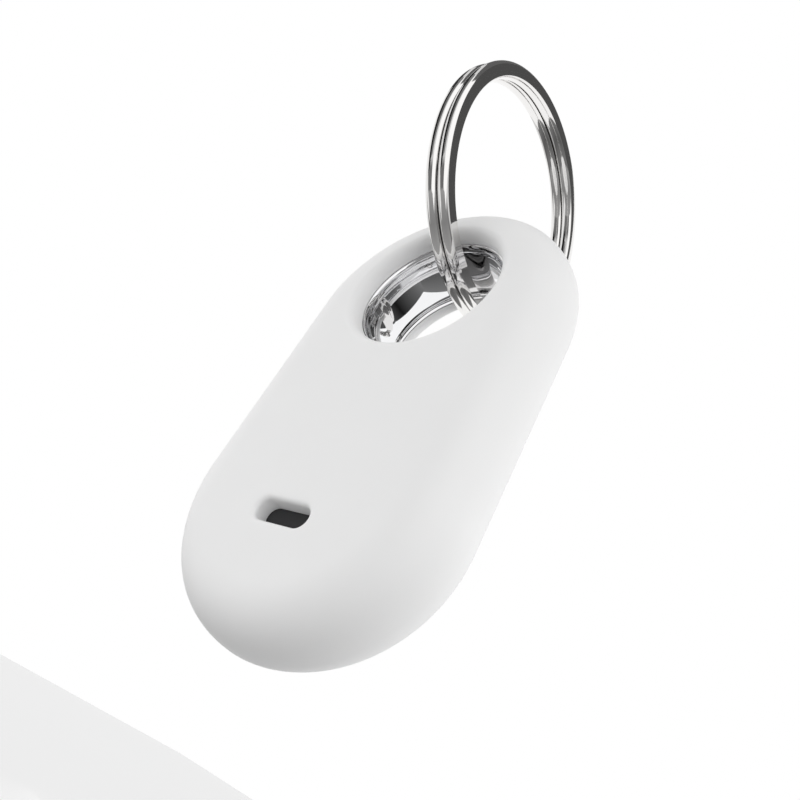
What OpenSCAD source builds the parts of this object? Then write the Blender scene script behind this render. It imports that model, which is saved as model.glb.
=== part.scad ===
// Bluetooth tracker tag in a silicone cover, hanging from a split key ring.
// Millimetres. The long axis is Z, with the key ring at the top, and the front faces -Y.
// The origin is the lowest point of the cover's tail, on the middle plane.

/* [Cover] */
// Length of the silicone cover, tail to top
cover_length = 57; // [56.5:0.1:60]
// Width of the silicone cover
cover_width = 32.13; // [32:0.01:33]
// Thickness of the silicone cover, front face to back face
cover_thickness = 12.23; // [12.1:0.01:13]
// Radius of the battery window in the cover's back wall
window_radius = 11.6; // [11.4:0.1:12]
// Length of the sound slot in the cover's front wall
slot_length = 6.6; // [5:0.1:7]
// Height of the sound slot in the cover's front wall
slot_height = 2.3; // [1.6:0.1:3]

/* [Tag] */
// Width of the plastic tag inside the cover
tag_width = 27.4; // [27.2:0.1:27.6]
// Thickness of the plastic tag
tag_thickness = 8.2; // [8.2:0.1:8.4]
// Wall thickness of the tag's shells
shell_wall = 1; // [0.95:0.05:1]
// Radius of the round opening that the key ring passes through
loop_radius = 8.35; // [8:0.05:8.5]

/* [Battery] */
// Diameter of the coin cell
cell_diameter = 20; // [19.8:0.1:20.1]
// Thickness of the coin cell
cell_thickness = 3.2; // [3.1:0.1:3.2]
// Radius of the twist-off battery door
door_radius = 11; // [10.9:0.1:11]
// Angle that the battery door turns from locked to released
door_turn = 30; // [30:1:35]

/* [Key ring] */
// Outer radius of the split ring
ring_radius = 17.3; // [17:0.05:17.5]
// Radial thickness of the ring's wire
wire_radial = 2.15; // [2:0.05:2.2]
// Width of one coil of the ring's wire along the ring's axis
wire_axial = 1.5; // [1.3:0.05:1.5]

/* [Hidden] */
$fn = 96;

skin = 0.05;
past = 1;
tiny_gap = 0.03;

// Cover: centres of its two round ends, and how its edges roll over.
cover_radius = cover_width / 2;
end_low = cover_radius;
end_high = cover_length - cover_radius;
cover_front = -cover_thickness / 2;
cover_back = cover_thickness / 2;
cover_front_edge = [5.31, 5.6, 2.33];
cover_back_edge = [6.2, 6.6, 1.68];
edge_steps = 9;

// Tag: its faces, and how its edges roll over: [inset, reach, power].
tag_radius = tag_width / 2;
tag_front = -tag_thickness / 2;
tag_back = tag_thickness / 2;
tag_front_edge = [2.8, 3, 2.2];
tag_back_edge = [2, 2.2, 2.1];
inside_radius = tag_radius - 1.2;
inside_front = tag_front + shell_wall;
inside_back = tag_back - shell_wall;
inside_front_edge = [2, 2.2, 2.2];
inside_back_edge = [1.2, 1.4, 2];
inside_top = 42;
parting = 0.6;
tag_steps = 6;
seal_outer = inside_radius + 0.75;
seal_inner = inside_radius + 0.25;
seal_height = 0.3;

// Round opening near the top.
loop_z = 42.6;
liner_outer = loop_radius + 0.95;
liner_flange = liner_outer + 0.6;
flange_height = 0.32;
flange_recess = flange_height + tiny_gap;
bead_length = 0.85;
bead_flare = 0.42;
bead_rise = 0.02;
bead_steps = 5;
bead_angle = 15;
groove_depth = 0.1;
groove_front = 0.95;
groove_middle = 1.05;
groove_end = 1.15;
lip_inner = loop_radius + 0.38;
lip_roll = 1.1;
lip_depth = 1.5;
loop_wall = liner_outer + 1.1;

// Sound slot, and low inside it the row of ports with their mesh.
slot_z = 11.9;
port_z = slot_z - 0.68;
port_radius = 0.28;
port_pitch = 0.95;
port_count = 5;
mesh_half = 2.5;
mesh_reach = 0.48;
mesh_thickness = 0.08;

// Board, from its front face to its back face.
board_front = -1.6;
board_back = -0.8;
board_radius = 12;
board_top = 31.6;
peg_hole_radius = 0.6;
peg_x = 10.8;
peg_z = 30.4;
can_low = [-11.4, board_front - 1.1, 21.6];
can_high = [-5.6, board_front, 29.4];
can_wall = 0.2;
radio_low = [-10.2, board_front - 0.7, 23.4];
radio_high = [-6.6, board_front, 27];
ranging_low = [6, board_front - 0.75, 25];
ranging_high = [9.4, board_front, 28.4];
small_part = [0.5, 0.4, 1];
right_rows = [5.9, 21.4, 23.2];
right_pitch = 0.9;
right_count = 6;
left_row = [-10.6, 19.4];
left_pitch = 1;
left_count = 5;
side_part = [1, 0.5, 0.6];
side_row = [10, 25];
side_pitch = 1.3;
side_count = 4;
crystal_low = [-1.6, board_front - 0.6, 4.6];
crystal_high = [1.6, board_front, 6.1];
coil_part_low = [6.4, board_front - 0.55, 17.4];
coil_part_high = [8.4, board_front, 19];

// Push button and its switch.
button_z = 26.8;
button_radius = 4.45;
button_flange = 5;
button_play = 0.05;
flange_start = inside_front + 0.05;
flange_end = inside_front + 0.35;
stem_radius = 1.2;
stem_end = board_front - 0.9;
switch_half = 1.6;
switch_height = 0.6;
switch_well_radius = 1.2;
switch_well_depth = 0.3;
plunger_radius = 0.8;
plunger_play = 0.05;
plunger_front = board_front - 0.85;
plunger_back = board_front - 0.4;
dome_section = [[0, 0.14], [0.4, 0.14], [1.1, 0], [1.02, 0], [0.4, 0.1], [0, 0.1]];

// Coin cell and door, all on one axis.
cell_z = end_low;
cell_radius = cell_diameter / 2;
cell_front = board_back + 0.5;
cell_back = cell_front + cell_thickness;
cell_can_lip = 0.15;
cell_can_thickness = 0.25;
cap_radius = cell_radius - 1.2;
cap_back = cell_back - 0.28;
cell_seal_outer = cell_radius - 0.28;
cell_seal_inner = cell_radius - 1.17;
cell_seal_front = cell_front + 0.1;
holder_inner = cell_radius + 0.15;
holder_outer = 12.1;
holder_back = 2.2;
holder_side = 11.6;
pocket_x = 6;
pocket_half = 4;
pocket_front = board_back + 0.8;
pocket_low = 27.8;
pocket_high = board_top - 0.9;
contact_gap_outer = holder_inner + 1.4;
contact_gap_inner = holder_inner - 1;
contact_gap_half = 3;
door_play = 0.05;
door_inner = 3;
door_chamfer = 0.25;
door_groove_outer = 10.1;
door_groove_inner = 9.7;
door_groove_depth = 0.15;
coin_slot_half = 5.15;
coin_slot_radius = 0.85;
coin_slot_depth = 0.5;
seal_groove_height = 0.5;
door_seal_middle = door_radius - 0.14;
door_seal_depth = door_inner + 0.28;
door_seal_radius = 0.13;
door_seal_sides = 24;
skirt_inner = cell_radius + 0.12;
skirt_outer = 10.72;
skirt_front = 2.4;
lug_front = 2.45;
lug_back = 3.02;
lug_outer = 11.5;
lug_count = 3;
lug_angle = 30;
notch_angle = lug_angle + 5;
notch_outer = lug_outer + 0.12;
lug_root = skirt_outer - 0.3;

// Battery contacts.
plate_radius = 4;
plate_thickness = 0.2;
spring_count = 3;
spring_inner = 2;
spring_bend = 2.6;
spring_outer = 3.6;
spring_half = 0.5;
spring_thickness = 0.15;
spring_back = cell_front - tiny_gap;
side_contact_outer = cell_radius + 0.85;
side_contact_inner = cell_radius + 0.65;
side_contact_half = 2.5;
side_contact_back = 1.9;
touch_radius = 0.32;
touch_x = cell_radius + 0.35;
touch_y = 0.9;
touch_half = 2;
tab_outer = cell_radius + 0.7;
tab_inner = cell_radius + 0.4;
tab_half_thickness = 0.1;

// Sounder.
piezo_z = 14;
piezo_radius = 5;
ceramic_radius = 3.9;
piezo_front = inside_front + 0.3;
plate_back = piezo_front + 0.1;
ceramic_back = piezo_front + 0.3;
piezo_seat_outer = piezo_radius + 0.3;
piezo_seat_inner = piezo_radius - 0.6;

// Coil and antennas on the shell's inside.
coil_turns = 5;
coil_first = 5.6;
coil_step = 0.28;
coil_width = 0.16;
coil_thickness = 0.1;
strip_outer = inside_radius - 0.1;
strip_inner = inside_radius - 0.35;
strip_front = -0.5;
strip_back = 1.3;
strip_low = 22;
strip_high = 41;
foot_inner = board_radius + 0.02;
foot_low = 24;
foot_high = 26;

// Key ring: it stands upright through the round opening, a little to one side of the middle.
ring_x = -0.45;
ring_z = 64.33;
ring_middle = ring_radius - wire_radial / 2;
coil_pitch = wire_axial + 0.15;
ring_stations = 150;
ring_turns = 1.92;
ring_start = 328;
step_angle = 28;
outer_crown = 0.49;
inner_crown = 0.27;
crown_power = 2.4;
crown_steps = 5;
wire_corners = 2 * (crown_steps + 1);

// Colours.
white_silicone = [0.93, 0.93, 0.93];
charcoal = [0.13, 0.13, 0.14];
chrome_look = [0.8, 0.8, 0.82];
board_green = [0.05, 0.28, 0.17];
chip_black = [0.08, 0.08, 0.09];
copper = [0.72, 0.45, 0.25];
steel = [0.62, 0.62, 0.64];

// The rolled edge of a pill: points [radius, depth] from the front face to the back face.
function front_roll(radius, front, edge, steps) =
    [for (i = [steps:-1:0]) let (a = 90 * i / steps)
        [radius - edge[0] + edge[0] * pow(cos(a), 2 / edge[2]),
         front + edge[1] - edge[1] * pow(sin(a), 2 / edge[2])]];
function back_roll(radius, back, edge, steps) =
    [for (i = [0:steps]) let (a = 90 * i / steps)
        [radius - edge[0] + edge[0] * pow(cos(a), 2 / edge[2]),
         back - edge[1] + edge[1] * pow(sin(a), 2 / edge[2])]];
function rim(radius, front, back, front_edge, back_edge, steps) =
    concat(front_roll(radius, front, front_edge, steps), back_roll(radius, back, back_edge, steps));
function mirrored(points) = [for (i = [len(points) - 1:-1:0]) [-points[i][0], points[i][1]]];
function closed_to_axis(points) =
    concat([[0, points[0][1]]], points, [[0, points[len(points) - 1][1]]]);

// Half of a turned solid about the Y axis, on the tail side.
module half_turn(points) {
    rotate([-90, 0, 0]) rotate_extrude(angle = 180) polygon(closed_to_axis(points));
}

// A pill: two turned ends and a straight middle.
module pill(points, low, high) {
    translate([0, 0, low]) half_turn(points);
    translate([0, 0, high]) mirror([0, 0, 1]) half_turn(points);
    translate([0, 0, low]) linear_extrude(high - low) polygon(concat(points, mirrored(points)));
}

// A pill whose upper end is cut off flat.
module flat_topped_pill(points, low, top) {
    translate([0, 0, low]) half_turn(points);
    translate([0, 0, low]) linear_extrude(top - low) polygon(concat(points, mirrored(points)));
}

// A round bar along Y, from one depth to another, centred at [x, z].
module bar_y(radius, from, to, x, z) {
    translate([x, from, z]) rotate([-90, 0, 0]) cylinder(r = radius, h = to - from);
}

// A ring along Y.
module ring_y(outer, inner, from, to, x, z) {
    difference() {
        bar_y(outer, from, to, x, z);
        bar_y(inner, from - past, to + past, x, z);
    }
}

// A block given by its lowest and highest corners.
module block(low, high) {
    translate(low) cube(high - low);
}

// A block cut to an angle about the door's axis, for lugs and notches.
module sector_y(outer, inner, from, to, middle, width) {
    translate([0, from, cell_z]) rotate([-90, 0, 0])
        rotate([0, 0, middle - width / 2])
        rotate_extrude(angle = width)
        translate([inner, 0])
        square([outer - inner, to - from]);
}

function tag_rim(extra) =
    rim(tag_radius + extra, tag_front - extra, tag_back + extra, tag_front_edge, tag_back_edge, tag_steps);
function inside_rim() =
    rim(inside_radius, inside_front, inside_back, inside_front_edge, inside_back_edge, tag_steps);

// The opening through the cover: a straight throat whose two mouths roll outwards.
module loop_mouth(face, direction) {
    roll = [for (i = [0:edge_steps]) let (a = 90 * i / edge_steps)
        [lip_inner + lip_roll * (1 - sin(a)), face - direction * lip_depth * (1 - cos(a))]];
    outline = concat([[0, face + direction * past], [lip_inner + lip_roll, face + direction * past]],
        roll, [[0, face - direction * lip_depth]]);
    translate([0, 0, loop_z]) rotate([-90, 0, 0]) rotate_extrude() polygon(outline);
}

// The sound slot: two round ends and a straight middle, through the front wall only.
module slot_cut() {
    half = (slot_length - slot_height) / 2;
    for (side = [-1, 1]) bar_y(slot_height / 2, cover_front - past, tag_front, side * half, slot_z);
    block([-half, cover_front - past, slot_z - slot_height / 2], [half, tag_front, slot_z + slot_height / 2]);
}

module silicone_cover() {
    color(white_silicone) difference() {
        pill(rim(cover_radius, cover_front, cover_back, cover_front_edge, cover_back_edge, edge_steps),
            end_low, end_high);
        pill(tag_rim(skin), end_low, end_high);
        bar_y(lip_inner, cover_front - past, cover_back + past, 0, loop_z);
        loop_mouth(cover_front, -1);
        loop_mouth(cover_back, 1);
        bar_y(window_radius, 0, cover_back + past, 0, cell_z);
        slot_cut();
    }
}

// The hollow of the tag, which leaves a wall round the loop opening.
module tag_hollow() {
    difference() {
        flat_topped_pill(inside_rim(), end_low, inside_top);
        bar_y(loop_wall, tag_front, tag_back, 0, loop_z);
    }
}

module tag_body() {
    difference() {
        pill(tag_rim(0), end_low, end_high);
        tag_hollow();
        bar_y(liner_outer + tiny_gap, tag_front - past, tag_back + past, 0, loop_z);
        bar_y(liner_flange + tiny_gap, tag_front - past, tag_front + flange_recess, 0, loop_z);
        bar_y(liner_flange + tiny_gap, tag_back - flange_recess, tag_back + past, 0, loop_z);
    }
}

module front_half() {
    block([-cover_radius, cover_front, -past], [cover_radius, parting, cover_length]);
}

module rear_half() {
    block([-cover_radius, parting, -past], [cover_radius, cover_back, cover_length]);
}

module front_shell() {
    color(charcoal) {
        difference() {
            intersection() {
                tag_body();
                front_half();
            }
            bar_y(button_radius + button_play, tag_front - past, inside_front + past, 0, button_z);
            for (i = [0:port_count - 1])
                bar_y(port_radius, tag_front - past, inside_front + past,
                    (i - (port_count - 1) / 2) * port_pitch, port_z);
        }
        ring_y(piezo_seat_outer, piezo_seat_inner, inside_front, piezo_front, 0, piezo_z);
    }
}

// A band of even width that follows the pill's outline, between two depths.
module outline_band(outer, inner, from, to) {
    difference() {
        stadium_prism(outer, from, to);
        stadium_prism(inner, from - past, to + past);
    }
}

module stadium_prism(radius, from, to) {
    bar_y(radius, from, to, 0, end_low);
    bar_y(radius, from, to, 0, end_high);
    block([-radius, from, end_low], [radius, to, end_high]);
}

module rear_shell() {
    color(charcoal) difference() {
        intersection() {
            tag_body();
            rear_half();
        }
        bar_y(door_radius + door_play, 0, tag_back + past, 0, cell_z);
        for (i = [0:lug_count - 1])
            sector_y(notch_outer, door_radius - past, 0, tag_back + past,
                door_turn + i * 360 / lug_count, notch_angle);
        outline_band(seal_outer + tiny_gap, seal_inner - tiny_gap, parting - past, parting + seal_height);
    }
}

module shell_seal() {
    color(chip_black) outline_band(seal_outer, seal_inner, parting, parting + seal_height);
}

// Half of the liner's inner outline, from the middle to one face, as [radius, depth].
function liner_mouth(face, direction) =
    concat(
        [[loop_radius, 0],
         [loop_radius, face - direction * groove_end],
         [loop_radius + groove_depth, face - direction * groove_middle],
         [loop_radius + bead_rise, face - direction * groove_front]],
        [for (i = [0:bead_steps]) let (a = bead_angle * i)
            [loop_radius + bead_rise + bead_flare * (1 - cos(a)),
             face - direction * bead_length * (1 - sin(a))]]);

module liner_half(face, direction) {
    outline = concat(liner_mouth(face, direction),
        [[liner_flange, face],
         [liner_flange, face - direction * flange_height],
         [liner_outer, face - direction * flange_height],
         [liner_outer, 0]]);
    translate([0, 0, loop_z]) rotate([-90, 0, 0]) rotate_extrude() polygon(outline);
}

module loop_liner() {
    color(chrome_look) {
        liner_half(tag_front, -1);
        liner_half(tag_back, 1);
    }
}

module cell_holder() {
    color("dimgray") difference() {
        union() {
            bar_y(holder_outer, board_back, holder_back, 0, cell_z);
            block([-holder_side, board_back, cell_z], [holder_side, holder_back, board_top]);
        }
        bar_y(holder_inner, board_back - past, holder_back + past, 0, cell_z);
        for (side = [-1, 1])
            block([side * pocket_x - pocket_half, pocket_front, pocket_low],
                [side * pocket_x + pocket_half, holder_back + past, pocket_high]);
        block([-contact_gap_outer, board_back - past, cell_z - contact_gap_half],
            [-contact_gap_inner, holder_back + past, cell_z + contact_gap_half]);
    }
}

module main_board() {
    color(board_green) difference() {
        union() {
            bar_y(board_radius, board_front, board_back, 0, end_low);
            block([-board_radius, board_front, end_low], [board_radius, board_back, board_top]);
        }
        for (side = [-1, 1])
            bar_y(peg_hole_radius, board_front - past, board_back + past, side * peg_x, peg_z);
    }
}

module shield_can() {
    color(steel) difference() {
        block(can_low, can_high);
        block(can_low + [can_wall, can_wall, can_wall], can_high + [-can_wall, past, -can_wall]);
    }
}

module radio_chip() {
    color(chip_black) block(radio_low, radio_high);
}

module ranging_chip() {
    color(chip_black) block(ranging_low, ranging_high);
}

// A small part of a given size, soldered on the board's front with its lower corner at [x, z].
module soldered(size, x, z) {
    block([x, board_front - size[1], z], [x + size[0], board_front, z + size[2]]);
}

// Crystals, inductors and small ceramic parts, soldered in rows on the board's front.
module board_parts() {
    color("tan") {
        for (i = [0:right_count - 1], row = [1, 2])
            soldered(small_part, right_rows[0] + i * right_pitch, right_rows[row]);
        for (i = [0:left_count - 1]) soldered(small_part, left_row[0] + i * left_pitch, left_row[1]);
        for (i = [0:side_count - 1]) soldered(side_part, side_row[0], side_row[1] + i * side_pitch);
    }
    color("silver") {
        block(crystal_low, crystal_high);
        block(coil_part_low, coil_part_high);
    }
}

module phone_tap_coil() {
    color(copper) for (i = [0:coil_turns - 1])
        ring_y(coil_first + i * coil_step, coil_first - coil_width + i * coil_step,
            inside_front, inside_front + coil_thickness, 0, piezo_z);
}

// A block between two distances from the middle plane, on the +X or the -X side.
module side_block(side, near, far, front, back, low, high) {
    block([min(side * near, side * far), front, low], [max(side * near, side * far), back, high]);
}

// An antenna strip along the shell's side, with a foot that touches the board's edge.
module side_strip(side) {
    side_block(side, strip_inner, strip_outer, strip_front, strip_back, strip_low, strip_high);
    side_block(side, foot_inner, strip_outer, board_front, strip_front, foot_low, foot_high);
}

module ranging_antenna() {
    color(copper) side_strip(1);
}

module radio_antenna() {
    color(copper) side_strip(-1);
}

module piezo_plate() {
    color("goldenrod") bar_y(piezo_radius, piezo_front, plate_back, 0, piezo_z);
}

module piezo_ceramic() {
    color("white") bar_y(ceramic_radius, plate_back, ceramic_back, 0, piezo_z);
}

module speaker_mesh() {
    color("dimgray") block([-mesh_half, inside_front, port_z - mesh_reach],
        [mesh_half, inside_front + mesh_thickness, port_z + mesh_reach]);
}

module negative_contact() {
    plate_top = board_back + plate_thickness;
    color("silver") {
        bar_y(plate_radius, board_back, plate_top, 0, cell_z);
        for (i = [0:spring_count - 1]) rotate_about_cell(i * 360 / spring_count) {
            block([spring_inner, plate_top, cell_z - spring_half],
                [spring_bend, spring_back, cell_z + spring_half]);
            block([spring_inner, cell_front - spring_thickness, cell_z - spring_half],
                [spring_outer, spring_back, cell_z + spring_half]);
        }
    }
}

module rotate_about_cell(angle) {
    translate([0, 0, cell_z]) rotate([0, angle, 0]) translate([0, 0, -cell_z]) children();
}

module positive_contact() {
    color("silver") {
        block([-side_contact_outer, board_back, cell_z - side_contact_half],
            [-side_contact_inner, side_contact_back, cell_z + side_contact_half]);
        translate([-touch_x, touch_y, cell_z - touch_half]) cylinder(r = touch_radius, h = 2 * touch_half);
        block([-tab_outer, touch_y - tab_half_thickness, cell_z - touch_half],
            [-tab_inner, touch_y + tab_half_thickness, cell_z + touch_half]);
    }
}

module coin_cell_can() {
    color("silver") difference() {
        bar_y(cell_radius, cell_front + cell_can_lip, cell_back, 0, cell_z);
        bar_y(cell_radius - cell_can_thickness, cell_front - past, cell_back - cell_can_thickness, 0, cell_z);
    }
}

module coin_cell_cap() {
    color("lightgray") bar_y(cap_radius, cell_front, cap_back, 0, cell_z);
}

module coin_cell_seal() {
    color(chip_black) ring_y(cell_seal_outer, cell_seal_inner, cell_seal_front, cap_back, 0, cell_z);
}

module switch_base() {
    color(chip_black) difference() {
        block([-switch_half, board_front - switch_height, button_z - switch_half],
            [switch_half, board_front, button_z + switch_half]);
        bar_y(plunger_radius + plunger_play, board_front - past, board_front + past, 0, button_z);
        bar_y(switch_well_radius, board_front - switch_well_depth, board_front + past, 0, button_z);
    }
}

module switch_dome() {
    color("silver") translate([0, board_front, button_z]) rotate([90, 0, 0])
        rotate_extrude() polygon(dome_section);
}

module switch_plunger() {
    color("whitesmoke") bar_y(plunger_radius, plunger_front, plunger_back, 0, button_z);
}

module button_cap() {
    color(charcoal) {
        bar_y(button_radius, tag_front, flange_start, 0, button_z);
        bar_y(button_flange, flange_start, flange_end, 0, button_z);
        bar_y(stem_radius, flange_end, stem_end, 0, button_z);
    }
}

// The door's disc, with a chamfered rim on its outer face.
module door_disc() {
    translate([0, 0, cell_z]) rotate([-90, 0, 0]) rotate_extrude() polygon([
        [0, door_inner], [door_radius, door_inner], [door_radius, tag_back - door_chamfer],
        [door_radius - door_chamfer, tag_back], [0, tag_back]]);
}

// The slot that a coin's edge turns, with round ends.
module coin_slot() {
    floor = tag_back - coin_slot_depth;
    block([-coin_slot_half, floor, cell_z - coin_slot_radius],
        [coin_slot_half, tag_back + past, cell_z + coin_slot_radius]);
    for (side = [-1, 1]) bar_y(coin_slot_radius, floor, tag_back + past, side * coin_slot_half, cell_z);
}

module battery_door() {
    color(charcoal) {
        difference() {
            door_disc();
            coin_slot();
            ring_y(door_groove_outer, door_groove_inner,
                tag_back - door_groove_depth, tag_back + past, 0, cell_z);
            ring_y(door_radius + past, skirt_outer,
                door_inner - past, door_inner + seal_groove_height, 0, cell_z);
        }
        ring_y(skirt_outer, skirt_inner, skirt_front, door_inner, 0, cell_z);
        for (i = [0:lug_count - 1])
            sector_y(lug_outer, lug_root, lug_front, lug_back, i * 360 / lug_count, lug_angle);
    }
}

module door_seal() {
    color("firebrick") translate([0, 0, cell_z]) rotate([-90, 0, 0])
        ring_section(door_seal_middle, door_seal_depth, door_seal_radius);
}

module ring_section(middle, height, radius) {
    rotate_extrude() translate([middle, height]) circle(r = radius, $fn = door_seal_sides);
}

// The ring's wire, as stations along two turns. It steps from one coil to the other once a turn.
function ring_shift(angle) =
    let (t = min(1, max(0, (angle - 360 + step_angle) / step_angle)))
    coil_pitch * (t * t * (3 - 2 * t) - 0.5);
// The wire's section as [radial, axial]: flat sides, with a crowned outer and inner face.
function crown(step) = pow(abs(2 * step / crown_steps - 1), crown_power);
function across(step) = wire_axial * (step / crown_steps - 0.5);
wire_section = concat(
    [for (i = [0:crown_steps]) [wire_radial / 2 - outer_crown * crown(i), across(i)]],
    [for (i = [crown_steps:-1:0]) [inner_crown * crown(i) - wire_radial / 2, across(i)]]);
function wire_station(i) =
    let (angle = ring_turns * 360 * i / (ring_stations - 1), turn = ring_start + angle)
    [for (corner = wire_section)
        let (r = ring_middle + corner[0])
        [ring_x + ring_shift(angle) + corner[1], r * cos(turn), ring_z + r * sin(turn)]];

module split_ring() {
    points = [for (i = [0:ring_stations - 1]) each wire_station(i)];
    side_faces = [for (i = [0:ring_stations - 2], j = [0:wire_corners - 1])
        let (a = i * wire_corners + j,
             b = i * wire_corners + (j + 1) % wire_corners)
        [a, b, b + wire_corners, a + wire_corners]];
    first_face = [for (j = [wire_corners - 1:-1:0]) j];
    last_face = [for (j = [0:wire_corners - 1]) (ring_stations - 1) * wire_corners + j];
    color(chrome_look) polyhedron(points, concat([first_face], side_faces, [last_face]));
}

silicone_cover();
front_shell();
rear_shell();
loop_liner();
shell_seal();
cell_holder();
main_board();
radio_chip();
ranging_chip();
shield_can();
board_parts();
phone_tap_coil();
ranging_antenna();
radio_antenna();
piezo_plate();
piezo_ceramic();
speaker_mesh();
negative_contact();
positive_contact();
coin_cell_can();
coin_cell_cap();
coin_cell_seal();
switch_base();
switch_dome();
switch_plunger();
button_cap();
battery_door();
door_seal();
split_ring();
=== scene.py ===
import math

import bmesh
import bpy
import numpy as np
from mathutils import Matrix, Vector
from mathutils.geometry import delaunay_2d_cdt


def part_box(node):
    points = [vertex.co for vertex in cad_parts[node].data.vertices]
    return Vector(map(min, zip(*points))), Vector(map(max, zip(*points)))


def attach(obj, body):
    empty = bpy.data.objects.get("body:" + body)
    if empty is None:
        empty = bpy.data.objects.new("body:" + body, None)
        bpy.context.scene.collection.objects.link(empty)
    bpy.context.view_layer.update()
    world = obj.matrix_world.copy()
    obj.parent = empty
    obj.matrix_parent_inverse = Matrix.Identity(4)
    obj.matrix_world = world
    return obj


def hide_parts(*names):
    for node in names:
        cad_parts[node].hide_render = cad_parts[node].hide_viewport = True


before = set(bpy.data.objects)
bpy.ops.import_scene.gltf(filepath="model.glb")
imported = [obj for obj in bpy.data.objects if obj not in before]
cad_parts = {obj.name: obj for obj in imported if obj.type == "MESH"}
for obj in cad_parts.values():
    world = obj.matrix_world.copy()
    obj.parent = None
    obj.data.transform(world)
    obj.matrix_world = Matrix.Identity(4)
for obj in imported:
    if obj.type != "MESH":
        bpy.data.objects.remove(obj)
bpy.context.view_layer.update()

# One millimetre, in metres.
MM = 0.001
# Points nearer than this are one point.
WELD = 1e-7

# ---------------------------------------------------------------- sizes, from the frame

cover_low, cover_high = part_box("silicone_cover")
shell_low, shell_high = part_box("front_shell")
rear_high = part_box("rear_shell")[1]
liner_low, liner_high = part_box("loop_liner")
ring_low, ring_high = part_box("split_ring")

COVER_RADIUS = cover_high.x
COVER_LENGTH = cover_high.z
TAG_RADIUS = shell_high.x
END_LOW = COVER_RADIUS
END_HIGH = COVER_LENGTH - COVER_RADIUS
LOOP_Z = (liner_low.z + liner_high.z) / 2
LINER_FLANGE = liner_high.x
FLANGE_WIDTH = 1.55 * MM
LOOP_RADIUS = LINER_FLANGE - FLANGE_WIDTH
RING_Z = (ring_low.z + ring_high.z) / 2
RING_OUTER = min(ring_high.y, -ring_low.y)
SLOT_Z = 11.9 * MM
SKIN_GAP = 0.05 * MM


# ---------------------------------------------------------------- mesh helpers

def add_mesh(name, points, faces, body, finish, sharp_angle):
    """A closed mesh from points and index tuples, welded, turned outwards and shaded smooth."""
    mesh = bpy.data.meshes.new(name)
    mesh.from_pydata([tuple(p) for p in points], [], [tuple(int(i) for i in f) for f in faces])
    work = bmesh.new()
    work.from_mesh(mesh)
    bmesh.ops.remove_doubles(work, verts=work.verts, dist=WELD)
    bmesh.ops.dissolve_degenerate(work, edges=work.edges, dist=WELD)
    bmesh.ops.recalc_face_normals(work, faces=work.faces)
    work.to_mesh(mesh)
    work.free()
    mesh.shade_smooth()
    mesh.set_sharp_from_angle(angle=math.radians(sharp_angle))
    mesh.materials.append(finish)
    piece = bpy.data.objects.new(name, mesh)
    bpy.context.scene.collection.objects.link(piece)
    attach(piece, body)
    return piece


class Parts:
    """Points and faces gathered from several patches of one mesh."""

    def __init__(self):
        self.points = np.zeros((0, 3))
        self.faces = []

    def add(self, points, faces):
        start = len(self.points)
        self.points = np.vstack([self.points, points])
        self.faces += [tuple(i + start for i in f) for f in faces]

    def strip(self, loop_a, loop_b):
        """Quads between two closed loops with the same number of points."""
        n = len(loop_a)
        quads = [(i, (i + 1) % n, n + (i + 1) % n, n + i) for i in range(n)]
        self.add(np.vstack([loop_a, loop_b]), quads)


# How finely a roll's length is measured, and the fewest steps that it is cut into.
ROLL_SAMPLES, LEAST_STEPS = 600, 4


class Edge:
    """A stadium or circle outline in the XZ plane where the surface rolls over.

    middle is its centre, and half is the vector from there to the centre of one round end. side is -1
    for a rim, with the surface inside it, and 1 for a mouth, with the surface outside it. The roll is
    width across and depth deep, and a higher power makes it squarer. arc and line are the number of
    points on each round end and on each straight side.
    """

    def __init__(self, middle, half, radius, side, width, depth, power, arc, line=0):
        self.middle = np.array(middle, float)
        self.half = np.array(half, float)
        self.radius = radius
        self.side = side
        self.width = width
        self.depth = depth
        self.power = power
        self.arc = arc
        self.line = line

    def offset(self, points):
        """How far points lie from the outline, on the side where the surface is."""
        apart = points - self.middle
        length = float(self.half @ self.half)
        along = np.clip(apart @ self.half / length, -1, 1) if length > 0 else np.zeros(len(apart))
        return self.side * (np.linalg.norm(apart - along[:, None] * self.half, axis=1) - self.radius)

    def drop(self, offset):
        """How far the surface has dropped below its face, at that distance from the outline."""
        part = np.clip(1 - offset / self.width, 0, 1)
        return self.depth * (1 - (1 - part ** self.power) ** (1 / self.power))

    def loop(self, offset):
        """The outline's points at that distance from it, the same count at every distance."""
        radius = self.radius + self.side * offset
        length = np.linalg.norm(self.half)
        heading = math.atan2(self.half[1], self.half[0]) if length > 0 else 0.0
        rows = []
        for end in (1, -1):
            start = heading - math.pi / 2 + (0 if end == 1 else math.pi)
            angles = start + np.pi * np.arange(self.arc) / self.arc
            centre = self.middle + end * self.half
            rows.append(centre + radius * np.stack([np.cos(angles), np.sin(angles)], 1))
            if self.line:
                stop = start + math.pi
                sideways = radius * np.array([math.cos(stop), math.sin(stop)])
                part = np.arange(self.line)[:, None] / self.line
                rows.append(self.middle + sideways + end * self.half * (1 - 2 * part))
        return np.vstack(rows)

    def stations(self, spacing):
        """Offsets and drops along the roll, about evenly spaced, from the outline to the face."""
        angles = np.linspace(0, math.pi / 2, ROLL_SAMPLES)
        offset = self.width * (1 - np.cos(angles) ** (2 / self.power))
        drop = self.depth * (1 - np.sin(angles) ** (2 / self.power))
        run = np.concatenate([[0], np.cumsum(np.hypot(np.diff(offset), np.diff(drop)))])
        want = np.linspace(0, run[-1], max(LEAST_STEPS, int(run[-1] / spacing)) + 1)
        return list(zip(np.interp(want, run, offset), np.interp(want, run, drop)))


# The triangulation takes points nearer than this as one, in millimetres.
SAME_POINT_MM = 1e-7


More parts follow.
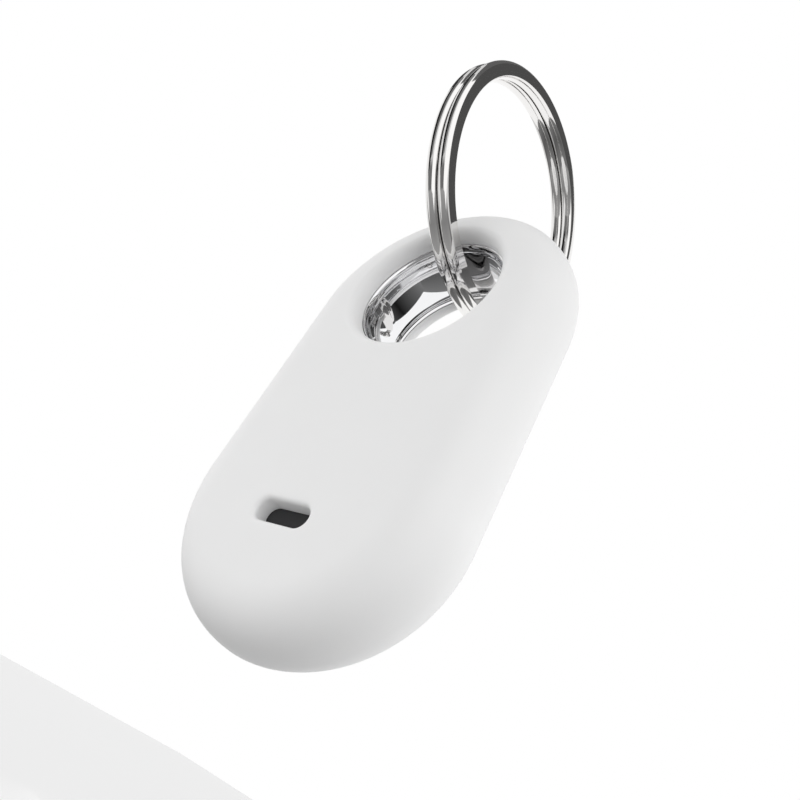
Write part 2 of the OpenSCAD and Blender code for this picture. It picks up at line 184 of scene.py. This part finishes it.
class Scatter:
    """Points in the XZ plane with a height each, where a point too near another is left out."""

    def __init__(self, gaps):
        self.gaps = gaps
        self.flat = []
        self.heights = []
        self.cells = {}

    def cell(self, point, gap):
        return int(point[0] // gap), int(point[1] // gap)

    def put(self, point, height, gap):
        column, row = self.cell(point, gap)
        for i in (-1, 0, 1):
            for j in (-1, 0, 1):
                for other in self.cells.get((column + i, row + j, gap), ()):
                    if np.hypot(*(self.flat[other] - point)) < gap:
                        return
        self.flat.append(point)
        self.heights.append(height)
        for size in self.gaps:
            self.cells.setdefault((*self.cell(point, size), size), []).append(len(self.flat) - 1)

    def triangulated(self):
        """The points in space, and the triangles between them."""
        # The triangulation is safer with numbers near 1, so it works in millimetres.
        in_mm = 1 / MM
        result = delaunay_2d_cdt([Vector(p * in_mm) for p in self.flat], [], [], 0, SAME_POINT_MM)
        source = [ids[0] for ids in result[3]]
        points = np.array([[self.flat[i][0], self.heights[i], self.flat[i][1]] for i in source])
        return points, [tuple(ids) for ids in result[2]]


# How much of a mouth's roll is quads between loops. The rest of it is triangulated.
MOUTH_STEEP = 0.35
# A mouth's stations are this much closer than the rim's.
MOUTH_FINER = 0.5
# Loops on the flat face round a mouth, in spacings from the end of its roll.
CALM_LOOPS = (1, 2.5)
# The least distance between points, on a patch's border and on a roll, in spacings.
BORDER_GAP, ROLL_GAP = 0.05, 0.45
# The least distance between points on the flat, in grid steps.
FLAT_GAP = 0.6
# A point this far past a border still counts as on it.
BORDER_SLACK = 1e-12


class Plate:
    """One side of a plate whose rim and mouths roll over.

    face is the flat surface's Y and inward is 1 or -1, the way that a drop goes. Steep parts are quads
    between loops, and the rest is triangulated. spacing is the distance between points on the rim's
    roll, rim_steep is how far in from the rim the quads reach, and grid is the flat part's step.
    """

    def __init__(self, face, inward, rim, mouths, spacing, rim_steep, grid):
        self.face, self.inward = face, inward
        self.rim, self.mouths = rim, mouths
        self.edges = [rim] + mouths
        self.spacing, self.rim_steep, self.grid = spacing, rim_steep, grid

    def lifted(self, flat, own, own_drop):
        """Flat points raised onto the surface, where the drop that own makes is known already."""
        drop = np.zeros(len(flat)) + own_drop
        for edge in self.edges:
            if edge is not own:
                drop += edge.drop(np.maximum(edge.offset(flat), 0))
        return np.stack([flat[:, 0], self.face + self.inward * drop, flat[:, 1]], 1)

    def roll(self, edge):
        """An edge's steep loops, the offset where they stop, and the (offset, drop) stations beyond."""
        is_rim = edge is self.rim
        steep = self.rim_steep if is_rim else MOUTH_STEEP * edge.width
        stations = edge.stations(self.spacing if is_rim else self.spacing * MOUTH_FINER)
        inner = [s for s in stations if s[0] > steep]
        outer = [s for s in stations if s[0] <= steep] + inner[:1]
        loops = [self.lifted(edge.loop(offset), edge, drop) for offset, drop in outer]
        beyond = inner[1:]
        if not is_rim:
            beyond += [(edge.width + step * self.spacing, 0.0) for step in CALM_LOOPS]
        return loops, outer[-1][0], beyond

    def lattice(self):
        """Flat points on a staggered grid over the whole plate."""
        low = self.rim.middle - np.abs(self.rim.half) - self.rim.radius
        high = self.rim.middle + np.abs(self.rim.half) + self.rim.radius
        xs = np.arange(low[0], high[0], self.grid)
        zs = np.arange(low[1], high[1], self.grid)
        return np.array([(x + (row % 2) * self.grid / 2, z) for row, z in enumerate(zs) for x in xs])

    def scattered(self, rolls, cuts):
        """The points that are triangulated: the borders first, then the gentle rolls, then the flat."""
        border_gap, roll_gap = self.spacing * BORDER_GAP, self.spacing * ROLL_GAP
        flat_gap = self.grid * FLAT_GAP
        scatter = Scatter((border_gap, roll_gap, flat_gap))
        for loops, _, _ in rolls:
            for x, y, z in loops[-1]:
                scatter.put(np.array([x, z]), y, border_gap)

        def put_inside(flat, own, own_drop, gap):
            for point, height in zip(flat, self.lifted(flat, own, own_drop)[:, 1]):
                offsets = [edge.offset(point[None])[0] for edge in self.edges]
                if all(offset > cut - BORDER_SLACK for offset, cut in zip(offsets, cuts)):
                    scatter.put(point, height, gap)

        gentle = [(edge, *station) for edge, (_, _, beyond) in zip(self.edges, rolls) for station in beyond]
        for edge, offset, drop in sorted(gentle, key=lambda item: (item[0] is self.rim, item[1])):
            put_inside(edge.loop(offset), edge, drop, roll_gap)
        put_inside(self.lattice(), None, 0.0, flat_gap)
        return scatter

    def add_to(self, parts):
        """Adds the surface to parts, and returns its boundary loops: the rim's, then the mouths'."""
        rolls = [self.roll(edge) for edge in self.edges]
        for loops, _, _ in rolls:
            for one, following in zip(loops, loops[1:]):
                parts.strip(one, following)
        cuts = [cut for _, cut, _ in rolls]
        points, triangles = self.scattered(rolls, cuts).triangulated()
        kept = []
        for triangle in triangles:
            centre = points[list(triangle)].mean(0)[[0, 2]]
            if not any(mouth.offset(centre[None])[0] < cut for mouth, cut in zip(self.mouths, cuts[1:])):
                kept.append(triangle)
        parts.add(points, kept)
        return [loops[0] for loops, _, _ in rolls]


def turned(profile, centre_z, segments):
    """Points and faces of a closed profile of (radius, depth) pairs, turned about the Y axis."""
    angles = 2 * np.pi * np.arange(segments) / segments
    rows = [np.stack([r * np.cos(angles), np.full(segments, y), centre_z + r * np.sin(angles)], 1)
            for r, y in profile]
    faces = []
    for i in range(len(profile)):
        a, b = i * segments, ((i + 1) % len(profile)) * segments
        faces += [(a + j, a + (j + 1) % segments, b + (j + 1) % segments, b + j) for j in range(segments)]
    return np.vstack(rows), faces


# ---------------------------------------------------------------- materials

class Nodes:
    """Short calls for making and joining a node tree's nodes."""

    def __init__(self, tree):
        self.nodes, self.links = tree.nodes, tree.links

    def fill(self, node, inputs):
        """Each input is given a fixed value, or is joined to another node's output."""
        for key, value in inputs.items():
            if isinstance(value, bpy.types.NodeSocket):
                self.links.new(value, node.inputs[key])
            else:
                node.inputs[key].default_value = value

    def make(self, kind, inputs=(), **settings):
        node = self.nodes.new("ShaderNode" + kind)
        for key, value in settings.items():
            setattr(node, key, value)
        self.fill(node, dict(inputs))
        return node

    def mix(self, factor, a, b):
        node = self.make("Mix", {"Factor": factor, "A": a, "B": b}, data_type="RGBA")
        return next(o for o in node.outputs if o.type == "RGBA")

    def grey(self, level):
        return self.make("CombineColor", {"Red": level, "Green": level, "Blue": level}).outputs["Color"]


# The slow change of colour over a surface: features per metre, levels of detail, and where on the
# noise's range the darker and the lighter colour are reached.
CLOUD_SCALE, CLOUD_DETAIL = 160, 3
CLOUD_RANGE = (0.3, 0.7)
GRAIN_DETAIL = 4
# How far light of each colour goes under a soft surface, and the distance that this is a part of.
SOFT_RADIUS = (1.0, 0.95, 0.9)
SOFT_DEPTH = 0.8 * MM


def material(name, base, rough, metallic=0.0, speckle=0.02, scale=4000, bump=0.02, height=2e-5,
             coat=0.0, sheen=0.0, soft=0.0, stretch=(1, 1, 1)):
    """A procedural finish: colour and roughness vary with fine noise, which also drives the bump."""
    made = bpy.data.materials.new(name)
    made.use_nodes = True
    kit = Nodes(made.node_tree)
    place = kit.make("TexCoord").outputs["Object"]
    stretched = kit.make("Mapping", {"Vector": place, "Scale": stretch}).outputs["Vector"]
    grain = kit.make("TexNoise", {"Vector": stretched, "Scale": scale, "Detail": GRAIN_DETAIL})
    cloud = kit.make("TexNoise", {"Vector": place, "Scale": CLOUD_SCALE, "Detail": CLOUD_DETAIL})
    colours = kit.make("ValToRGB", {"Fac": cloud.outputs["Fac"]})
    for stop, position, change in zip(colours.color_ramp.elements, CLOUD_RANGE, (-speckle, speckle)):
        stop.position = position
        stop.color = (*[min(1, c * (1 + change)) for c in base], 1)
    roughness = kit.make("MapRange", {"Value": grain.outputs["Fac"], "To Min": rough[0], "To Max": rough[1]})
    bumps = kit.make("Bump", {"Height": grain.outputs["Fac"], "Strength": bump, "Distance": height})
    shader = made.node_tree.nodes["Principled BSDF"]
    kit.fill(shader, {"Base Color": colours.outputs["Color"], "Roughness": roughness.outputs["Result"],
                      "Normal": bumps.outputs["Normal"], "Metallic": metallic, "Coat Weight": coat,
                      "Sheen Weight": sheen})
    if soft:
        kit.fill(shader, {"Subsurface Weight": soft, "Subsurface Radius": SOFT_RADIUS,
                          "Subsurface Scale": SOFT_DEPTH})
    return made


SILICONE = material("white_silicone", (0.83, 0.83, 0.83), (0.5, 0.62), speckle=0.006, scale=6000,
                    bump=0.12, height=1.5e-5, soft=0.12, sheen=0.05)
CHROME = material("polished_chrome", (0.86, 0.86, 0.87), (0.02, 0.05), metallic=1, speckle=0.01,
                  scale=900, bump=0.01, height=1e-5)
RING_STEEL = material("polished_ring_steel", (0.84, 0.83, 0.82), (0.04, 0.09), metallic=1,
                      speckle=0.01, scale=1500, bump=0.015, height=1e-5)
CHARCOAL = material("charcoal_plastic", (0.024, 0.024, 0.026), (0.38, 0.55), scale=9000, bump=0.3,
                    height=1.5e-5, speckle=0.05)
RUBBER = material("black_rubber", (0.02, 0.02, 0.02), (0.6, 0.75), scale=5000, bump=0.2)
RED_RUBBER = material("red_rubber", (0.32, 0.03, 0.025), (0.5, 0.65), scale=5000, bump=0.2, speckle=0.06)
HOLDER = material("dark_grey_plastic", (0.08, 0.08, 0.08), (0.4, 0.55), scale=7000, bump=0.25)
BOARD = material("green_solder_mask", (0.012, 0.11, 0.05), (0.25, 0.35), scale=1500, bump=0.05,
                 speckle=0.15, coat=0.4)
CHIP = material("chip_epoxy", (0.018, 0.018, 0.02), (0.45, 0.6), scale=12000, bump=0.25, speckle=0.1)
TIN = material("tinned_steel", (0.62, 0.62, 0.63), (0.22, 0.4), metallic=1, scale=2500, bump=0.1,
               stretch=(1, 1, 12))
SPRING = material("spring_steel", (0.7, 0.69, 0.66), (0.18, 0.32), metallic=1, scale=2500, bump=0.08,
                  stretch=(12, 1, 1))
CELL_STEEL = material("cell_steel", (0.66, 0.66, 0.67), (0.2, 0.34), metallic=1, scale=2000, bump=0.08,
                      stretch=(1, 1, 14))
SMALL_PARTS = material("ceramic_and_solder", (0.42, 0.33, 0.23), (0.3, 0.5), scale=6000, bump=0.1,
                       speckle=0.2)
COPPER = material("copper_foil", (0.78, 0.42, 0.24), (0.22, 0.36), metallic=1, scale=3000, bump=0.08)
BRASS = material("brass_plate", (0.8, 0.6, 0.28), (0.2, 0.34), metallic=1, scale=3000, bump=0.08)
CERAMIC = material("piezo_ceramic", (0.75, 0.74, 0.7), (0.35, 0.5), scale=8000, bump=0.1, speckle=0.03)
MESH_STEEL = material("dark_woven_mesh", (0.05, 0.05, 0.055), (0.35, 0.5), metallic=1, scale=9000,
                      bump=0.5, height=4e-5, speckle=0.1)
PLUNGER = material("white_nylon", (0.72, 0.72, 0.7), (0.35, 0.5), scale=6000, bump=0.1)


# ---------------------------------------------------------------- the silicone cover

LOOP_MOUTH = LOOP_RADIUS + 0.38 * MM
SLOT_HALF = 2.15 * MM
SLOT_RADIUS = 1.15 * MM
WINDOW_RADIUS = 11.6 * MM
MIDDLE_Z = (END_LOW + END_HIGH) / 2
HALF_STRAIGHT = (END_HIGH - END_LOW) / 2
# Where the cover is widest, which is nearer to its front than to its back.
WIDEST_Y = -0.5 * MM

# Each roll: how far it reaches across the face, and how deep it goes.
LOOP_ROLL = (1.1 * MM, 1.5 * MM)
SLOT_ROLL = (0.45 * MM, 0.5 * MM)
WINDOW_ROLL = (0.5 * MM, 0.6 * MM)
NO_ROLL = (1e-6, 0)
# Each rim's roll: how far it reaches across the face, and how square it is.
FRONT_RIM_WIDTH, FRONT_RIM_POWER = 5.31 * MM, 2.33
BACK_RIM_WIDTH, BACK_RIM_POWER = 6.2 * MM, 1.68
# The tag's own rims inside the cover: how far they reach, how deep they go, and how square they are.
FRONT_CAVITY_RIM = (2.8 * MM, 3 * MM, 2.2)
BACK_CAVITY_RIM = (2 * MM, 2.2 * MM, 2.1)

OUTSIDE_SPACING, OUTSIDE_STEEP, OUTSIDE_GRID = 0.32 * MM, 2 * MM, 1.6 * MM
CAVITY_SPACING, CAVITY_STEEP, CAVITY_GRID = 0.5 * MM, 1 * MM, 3.2 * MM
# Points on each round end and on each straight side: the cover's own outline, and the slot's.
ROUND_ARC, SIDE_LINE = 72, 30
SLOT_ARC, SLOT_LINE = 20, 14
# The squareness of a roll that is a quarter of an ellipse.
ELLIPSE = 2
COVER_SHARP_ANGLE = 50


def pill_rim(radius, width, depth, power):
    half = (0, HALF_STRAIGHT)
    return Edge((0, MIDDLE_Z), half, radius, -1, width, depth, power, ROUND_ARC, SIDE_LINE)


def loop_mouth(width, depth):
    return Edge((0, LOOP_Z), (0, 0), LOOP_MOUTH, 1, width, depth, ELLIPSE, ROUND_ARC)


def slot_mouth(width, depth):
    half = (SLOT_HALF, 0)
    return Edge((0, SLOT_Z), half, SLOT_RADIUS, 1, width, depth, ELLIPSE, SLOT_ARC, SLOT_LINE)


def window_mouth(width, depth):
    return Edge((0, END_LOW), (0, 0), WINDOW_RADIUS, 1, width, depth, ELLIPSE, ROUND_ARC)


def build_cover():
    """One closed skin: front and back outside, the cavity that the tag fills, and the mouths' walls."""
    parts = Parts()

    def outside(face, inward, rim, mouths):
        plate = Plate(face, inward, rim, mouths, OUTSIDE_SPACING, OUTSIDE_STEEP, OUTSIDE_GRID)
        return plate.add_to(parts)

    def cavity(face, inward, rim, mouths):
        plate = Plate(face, inward, rim, mouths, CAVITY_SPACING, CAVITY_STEEP, CAVITY_GRID)
        return plate.add_to(parts)

    front_rim = pill_rim(COVER_RADIUS, FRONT_RIM_WIDTH, WIDEST_Y - cover_low.y, FRONT_RIM_POWER)
    back_rim = pill_rim(COVER_RADIUS, BACK_RIM_WIDTH, cover_high.y - WIDEST_Y, BACK_RIM_POWER)
    front = outside(cover_low.y, 1, front_rim, [loop_mouth(*LOOP_ROLL), slot_mouth(*SLOT_ROLL)])
    back = outside(cover_high.y, -1, back_rim, [loop_mouth(*LOOP_ROLL), window_mouth(*WINDOW_ROLL)])
    # The cavity is the tag's own outline, a hair larger.
    cavity_radius = TAG_RADIUS + SKIN_GAP
    front_inner = cavity(shell_low.y - SKIN_GAP, 1, pill_rim(cavity_radius, *FRONT_CAVITY_RIM),
                         [loop_mouth(*NO_ROLL), slot_mouth(*NO_ROLL)])
    back_inner = cavity(rear_high.y + SKIN_GAP, -1, pill_rim(cavity_radius, *BACK_CAVITY_RIM),
                        [loop_mouth(*NO_ROLL), window_mouth(*NO_ROLL)])
    parts.strip(front_inner[0], back_inner[0])
    for outer, inner in ((front, front_inner), (back, back_inner)):
        for mouth in (1, 2):
            parts.strip(outer[mouth], inner[mouth])
    piece = add_mesh("cover_skin", parts.points, parts.faces, "tag", SILICONE, COVER_SHARP_ANGLE)
    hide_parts("silicone_cover")


build_cover()


# ---------------------------------------------------------------- the chrome liner

# Both beads flare out by this much at most, and turn through this angle.
BEAD_FLARE = 0.42 * MM
BEAD_TURN = 75
BEAD_STEPS = 12
# Each bead: how much wider than the bore its narrowest part is, and how deep it reaches from its face.
FRONT_BEAD = (0.02 * MM, 0.85 * MM)
REAR_BEAD = (0.13 * MM, 0.7 * MM)
# The groove behind the front bead: how much wider than the wall, and how deep from the face.
GROOVE = ((0.12, 0.88), (0.22, 0.93), (0.22, 1.0), (0.1, 1.05), (0.02, 1.26))
# How far before the rear face the wall ends, how much it has flared there, and its number of steps.
WALL_STOP = 1.12 * MM
WALL_FLARE = 0.3 * MM
WALL_STEPS = 9
# The step between the wall and the rear bead: how much wider than the bore, and how far past the wall.
REAR_STEP = (0.2 * MM, 0.22 * MM)
# The tube's outside, which is hidden, and how thick each flange is.
TUBE_WALL = 0.95 * MM
FLANGE_THICKNESS = 0.32 * MM
LINER_SEGMENTS = 288
LINER_SHARP_ANGLE = 40


def bead_point(bead, degrees):
    """A bead's (radius, depth below its face) where it has turned by that angle."""
    rise, reach = bead
    angle = math.radians(degrees)
    return LOOP_RADIUS + rise + BEAD_FLARE * (1 - math.cos(angle)), reach * (1 - math.sin(angle))


def liner_profile():
    """The liner's closed section: front bead and groove, a straight wall that flares, rear bead."""
    face = shell_low.y
    turns = [BEAD_TURN * step / BEAD_STEPS for step in range(BEAD_STEPS + 1)]
    mouth = [(radius, face + depth) for radius, depth in (bead_point(FRONT_BEAD, t) for t in reversed(turns))]
    groove = [(LOOP_RADIUS + wider * MM, face + depth * MM) for wider, depth in GROOVE]
    wall_end = -face - WALL_STOP
    wall = []
    for step in range(WALL_STEPS + 1):
        part = step / WALL_STEPS
        wall.append((LOOP_RADIUS + WALL_FLARE * part ** 2, wall_end * part))
    rear = [(LOOP_RADIUS + REAR_STEP[0], wall_end + REAR_STEP[1])]
    rear += [(radius, -face - depth) for radius, depth in (bead_point(REAR_BEAD, t) for t in turns)]
    tube = LOOP_RADIUS + TUBE_WALL
    step_in = face + FLANGE_THICKNESS
    outside = [(LINER_FLANGE, -face), (LINER_FLANGE, -step_in), (tube, -step_in),
               (tube, step_in), (LINER_FLANGE, step_in), (LINER_FLANGE, face)]
    return mouth + groove + wall + rear + outside


def build_liner():
    points, faces = turned(liner_profile(), LOOP_Z, LINER_SEGMENTS)
    piece = add_mesh("chrome_liner", points, faces, "tag", CHROME, LINER_SHARP_ANGLE)
    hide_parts("loop_liner")


build_liner()


# ---------------------------------------------------------------- the split ring

WIRE_RADIAL = 2.15 * MM
WIRE_AXIAL = 1.5 * MM
COIL_PITCH = ring_high.x - ring_low.x - WIRE_AXIAL
# How far the outer and inner faces fall from their middle to their edges, and how flat their middle is.
OUTER_CROWN = 0.49 * MM
INNER_CROWN = 0.27 * MM
CROWN_POWER = 2.4
CROWN_STEPS = 14
# The wire's corners are cut and rounded over this length.
CORNER_CUT = 0.035 * MM
CORNER_STEPS = 3
RING_TURNS = 1.92
# Where the wire starts, and the angle over which it steps to its second turn, in degrees.
RING_START = 328
STEP_ANGLE = 28
# The last stretch at each end of the wire, in degrees, over which it shrinks to this part of its size.
END_ROUND = 0.35
END_SCALE = 0.86
RING_STATIONS = 720
RING_SHARP_ANGLE = 50


def ring_shift(angle):
    """Where the wire's middle lies along the ring's axis: it steps over once, at the end of turn one."""
    part = min(1.0, max(0.0, (angle - 360 + STEP_ANGLE) / STEP_ANGLE))
    return COIL_PITCH * (part * part * (3 - 2 * part) - 0.5)


def rounded_corner(before, corner, after):
    """A few points that turn a polygon's corner smoothly, starting and ending at the cut from it."""
    before, corner, after = (np.array(p, float) for p in (before, corner, after))
    start = corner + CORNER_CUT * (before - corner) / np.linalg.norm(before - corner)
    end = corner + CORNER_CUT * (after - corner) / np.linalg.norm(after - corner)
    rows = []
    for step in range(CORNER_STEPS + 1):
        t = step / CORNER_STEPS
        rows.append(tuple((1 - t) ** 2 * start + 2 * t * (1 - t) * corner + t * t * end))
    return rows


def wire_section(scale=1.0):
    """The wire's section as (radial, axial): flat sides, and crowned outer and inner faces."""
    outer, inner = [], []
    for step in range(CROWN_STEPS + 1):
        s = 2 * step / CROWN_STEPS - 1
        outer.append((WIRE_RADIAL / 2 - OUTER_CROWN * abs(s) ** CROWN_POWER, s * WIRE_AXIAL / 2))
        inner.append((INNER_CROWN * abs(s) ** CROWN_POWER - WIRE_RADIAL / 2, -s * WIRE_AXIAL / 2))
    points = []
    for face, other in ((outer, inner), (inner, outer)):
        points += rounded_corner(other[-1], face[0], face[1])
        points += face[1:-1]
        points += rounded_corner(face[-2], face[-1], other[0])
    return [(radial * scale, axial * scale) for radial, axial in points]


def ring_rows():
    """Each station's angle along the wire and its section, with a smaller section at both tips."""
    section, tip = wire_section(), wire_section(END_SCALE)
    last = RING_TURNS * 360
    angles = [last * i / (RING_STATIONS - 1) for i in range(RING_STATIONS)]
    middle = [(min(max(angle, END_ROUND), last - END_ROUND), section) for angle in angles]
    return [(0.0, tip)] + middle + [(last, tip)]


def build_ring():
    """The wire, swept along its stations, with its two ends rounded over."""
    middle_radius = RING_OUTER - WIRE_RADIAL / 2
    middle_x = (ring_low.x + ring_high.x) / 2
    rows = ring_rows()
    points, faces = [], []
    for angle, outline in rows:
        turn = math.radians(RING_START + angle)
        for radial, axial in outline:
            x = middle_x + ring_shift(angle) + axial
            radius = middle_radius + radial
            points.append((x, radius * math.cos(turn), RING_Z + radius * math.sin(turn)))
    count = len(rows[0][1])
    for i in range(len(rows) - 1):
        for j in range(count):
            a, b = i * count + j, i * count + (j + 1) % count
            faces.append((a, b, b + count, a + count))
    faces.append(tuple(range(count)))
    faces.append(tuple((len(rows) - 1) * count + j for j in reversed(range(count))))
    piece = add_mesh("key_ring_wire", points, faces, "ring", RING_STEEL, RING_SHARP_ANGLE)
    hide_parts("split_ring")


build_ring()


# ---------------------------------------------------------------- the CAD nodes that stay

FINISHES = {
    "front_shell": CHARCOAL, "rear_shell": CHARCOAL, "button_cap": CHARCOAL, "battery_door": CHARCOAL,
    "shell_seal": RUBBER, "coin_cell_seal": RUBBER, "door_seal": RED_RUBBER,
    "cell_holder": HOLDER, "main_board": BOARD, "radio_chip": CHIP, "ranging_chip": CHIP,
    "switch_base": CHIP, "shield_can": TIN, "board_parts": SMALL_PARTS, "phone_tap_coil": COPPER,
    "ranging_antenna": COPPER, "radio_antenna": COPPER, "piezo_plate": BRASS, "piezo_ceramic": CERAMIC,
    "speaker_mesh": MESH_STEEL, "negative_contact": SPRING, "positive_contact": SPRING,
    "switch_dome": SPRING, "coin_cell_can": CELL_STEEL, "coin_cell_cap": CELL_STEEL,
    "switch_plunger": PLUNGER,
}
for node_name, finish in FINISHES.items():
    for place in bpy.data.objects[node_name].material_slots:
        place.material = finish


# ---------------------------------------------------------------- floor, light and camera

def flat_sheet(name, half_wide, half_tall, z, finish):
    """A rectangle of the studio, which isn't part of the object."""
    mesh = bpy.data.meshes.new(name)
    corners = [(-half_wide, -half_tall, z), (half_wide, -half_tall, z),
               (half_wide, half_tall, z), (-half_wide, half_tall, z)]
    mesh.from_pydata(corners, [], [(0, 1, 2, 3)])
    mesh.materials.append(finish)
    sheet = bpy.data.objects.new(name, mesh)
    bpy.context.scene.collection.objects.link(sheet)
    sheet.visible_diffuse = False
    sheet.visible_shadow = False
    return sheet


FLOOR_HALF, FLOOR_Z = 6.0, -0.25


def build_floor():
    """A pale floor far below, which the object's own lighting ignores."""
    paper = material("floor_paper", (0.9, 0.9, 0.9), (0.7, 0.8), speckle=0.005, scale=300)
    floor = flat_sheet("studio_floor", FLOOR_HALF, FLOOR_HALF, FLOOR_Z, paper)
    floor.visible_glossy = False


# The studio's soft light: its level, how much it grows towards +X, +Y and +Z, and how much it is
# brighter at both ends of each axis. It is brightest at the sides, and dims overhead and below.
LIGHT_LEVEL = 1.135
LIGHT_GROWTH = (-0.08, 0.08, 0.32)
LIGHT_BEND = (0.4, 0.0, -1.02)

# What the bright metal mirrors above and below eye level, where no card stands, and the heights
# between which one fades into the other.
MIRROR_ABOVE, MIRROR_BELOW = 0.75, 0.17
FADE_LOW, FADE_HIGH = -0.35, -0.2

# Cards round the object, seen in reflections only: direction, distance in metres, half width and
# half height in degrees, grey along the middle, and grey along the top and bottom edges. A nearer
# card covers the ones behind it.
CARDS = {
    "backdrop": ((0, 1, 0.12), 1.0, 54, 54, 1.05, 1.05),
    "ground_behind": ((0, 0.45, -0.89), 0.8, 62, 22, 0.11, 0.2),
    "ground_in_front": ((0, -0.45, -0.89), 0.82, 62, 26, 0.24, 0.36),
    "right_softbox": ((0.72, -0.68, 0.25), 0.9, 22, 48, 1.15, 1.15),
    "left_softbox": ((-0.93, -0.12, 0.32), 0.9, 26, 30, 1.0, 1.0),
    "low_left_softbox": ((-0.78, -0.58, -0.25), 0.85, 11, 26, 0.9, 0.9),
    "right_panel": ((0.80, 0.40, 0.16), 0.75, 17, 62, 0.008, 0.34),
    "high_panel": ((0.591, 0.314, 0.743), 0.72, 16.7, 20, 0.078, 0.078),
    "ceiling_strip": ((0.08, -0.05, 0.99), 0.74, 17, 30, 0.12, 0.12),
    "front_panel": ((-0.17, -0.86, 0.40), 0.74, 17, 36, 0.13, 0.25),
    "front_strip_high": ((-0.47, -0.28, 0.84), 0.69, 15, 8, 0.03, 0.05),
    "front_strip_top": ((-0.46, -0.62, 0.63), 0.68, 11, 15, 0.03, 0.03),
    "front_strip": ((-0.53, -0.83, 0.12), 0.66, 12, 24, 0.006, 0.02),
}
CARDS_MIDDLE = Vector((0, 0, 0.045))


def soft_level(kit, place):
    """The soft light's brightness in each direction."""
    squares = kit.make("VectorMath", {0: place, 1: place}, operation="MULTIPLY").outputs["Vector"]
    growth = kit.make("VectorMath", {0: place, 1: LIGHT_GROWTH}, operation="DOT_PRODUCT").outputs["Value"]
    bend = kit.make("VectorMath", {0: squares, 1: LIGHT_BEND}, operation="DOT_PRODUCT").outputs["Value"]
    change = kit.make("Math", {0: growth, 1: bend}, operation="ADD").outputs["Value"]
    total = kit.make("Math", {0: change, 1: LIGHT_LEVEL}, operation="ADD").outputs["Value"]
    return kit.make("Math", {0: total, 1: 0.0}, operation="MAXIMUM").outputs["Value"]


def build_world():
    """A soft light for the object, darker surroundings for reflections, and white for the camera."""
    world = bpy.data.worlds.new("studio")
    bpy.context.scene.world = world
    world.use_nodes = True
    kit = Nodes(world.node_tree)
    place = kit.make("TexCoord").outputs["Generated"]
    soft = kit.grey(soft_level(kit, place))
    height = kit.make("SeparateXYZ", {"Vector": place}).outputs["Z"]
    fade = kit.make("MapRange", {"Value": height, "From Min": FADE_LOW, "From Max": FADE_HIGH})
    mirrored = kit.mix(fade.outputs["Result"], (*[MIRROR_BELOW] * 3, 1), (*[MIRROR_ABOVE] * 3, 1))
    path = kit.make("LightPath").outputs
    lighting = kit.mix(path["Is Glossy Ray"], soft, mirrored)
    shown = kit.mix(path["Is Camera Ray"], lighting, (1, 1, 1, 1))
    kit.fill(world.node_tree.nodes["Background"], {"Color": shown})


def card_glow(name, tall, grey, edge_grey):
    """A glow whose grey changes evenly from a card's middle to its top and bottom edges."""
    made = bpy.data.materials.new(name)
    made.use_nodes = True
    kit = Nodes(made.node_tree)
    along = kit.make("SeparateXYZ", {"Vector": kit.make("TexCoord").outputs["Object"]}).outputs["Y"]
    away = kit.make("Math", {0: along}, operation="ABSOLUTE").outputs["Value"]
    level = kit.make("MapRange", {"Value": away, "From Max": tall, "To Min": grey, "To Max": edge_grey})
    glow = kit.make("Emission", {"Color": kit.grey(level.outputs["Result"])}).outputs["Emission"]
    kit.fill(made.node_tree.nodes["Material Output"], {"Surface": glow})
    return made


def build_cards():
    for name, (direction, distance, half_wide, half_tall, grey, edge_grey) in CARDS.items():
        wide = distance * math.tan(math.radians(half_wide))
        tall = distance * math.tan(math.radians(half_tall))
        card = flat_sheet(name, wide, tall, 0, card_glow(name, tall, grey, edge_grey))
        away = Vector(direction).normalized()
        card.location = CARDS_MIDDLE + away * distance
        card.rotation_euler = away.to_track_quat("Z", "Y").to_euler()
        card.visible_camera = False
        card.visible_transmission = False


CAMERA_AIM = (-0.84 * MM, -1.25 * MM, 29.02 * MM)
CAMERA_AZIMUTH = 45.43
CAMERA_ELEVATION = -28.20
CAMERA_ROLL = 30.73
CAMERA_DISTANCE = 75.56 * MM
CAMERA_LENS, CAMERA_SENSOR = 31.8, 36
CAMERA_SHIFT_X, CAMERA_SHIFT_Y = 0.022, 0.0026


def build_camera():
    data = bpy.data.cameras.new("camera")
    data.lens = CAMERA_LENS
    data.sensor_width = CAMERA_SENSOR
    data.shift_x = CAMERA_SHIFT_X
    data.shift_y = CAMERA_SHIFT_Y
    data.clip_start = 1 * MM
    camera = bpy.data.objects.new("camera", data)
    bpy.context.scene.collection.objects.link(camera)
    azimuth, elevation = math.radians(CAMERA_AZIMUTH), math.radians(CAMERA_ELEVATION)
    level = math.cos(elevation)
    back = Vector((math.sin(azimuth) * level, -math.cos(azimuth) * level, math.sin(elevation)))
    turn = back.to_track_quat("Z", "Y").to_matrix().to_4x4()
    roll = Matrix.Rotation(math.radians(CAMERA_ROLL), 4, "Z")
    camera.matrix_world = Matrix.Translation(Vector(CAMERA_AIM) + back * CAMERA_DISTANCE) @ turn @ roll
    bpy.context.scene.camera = camera


build_floor()
build_world()
build_cards()
build_camera()
bpy.context.scene.view_settings.view_transform = "Standard"
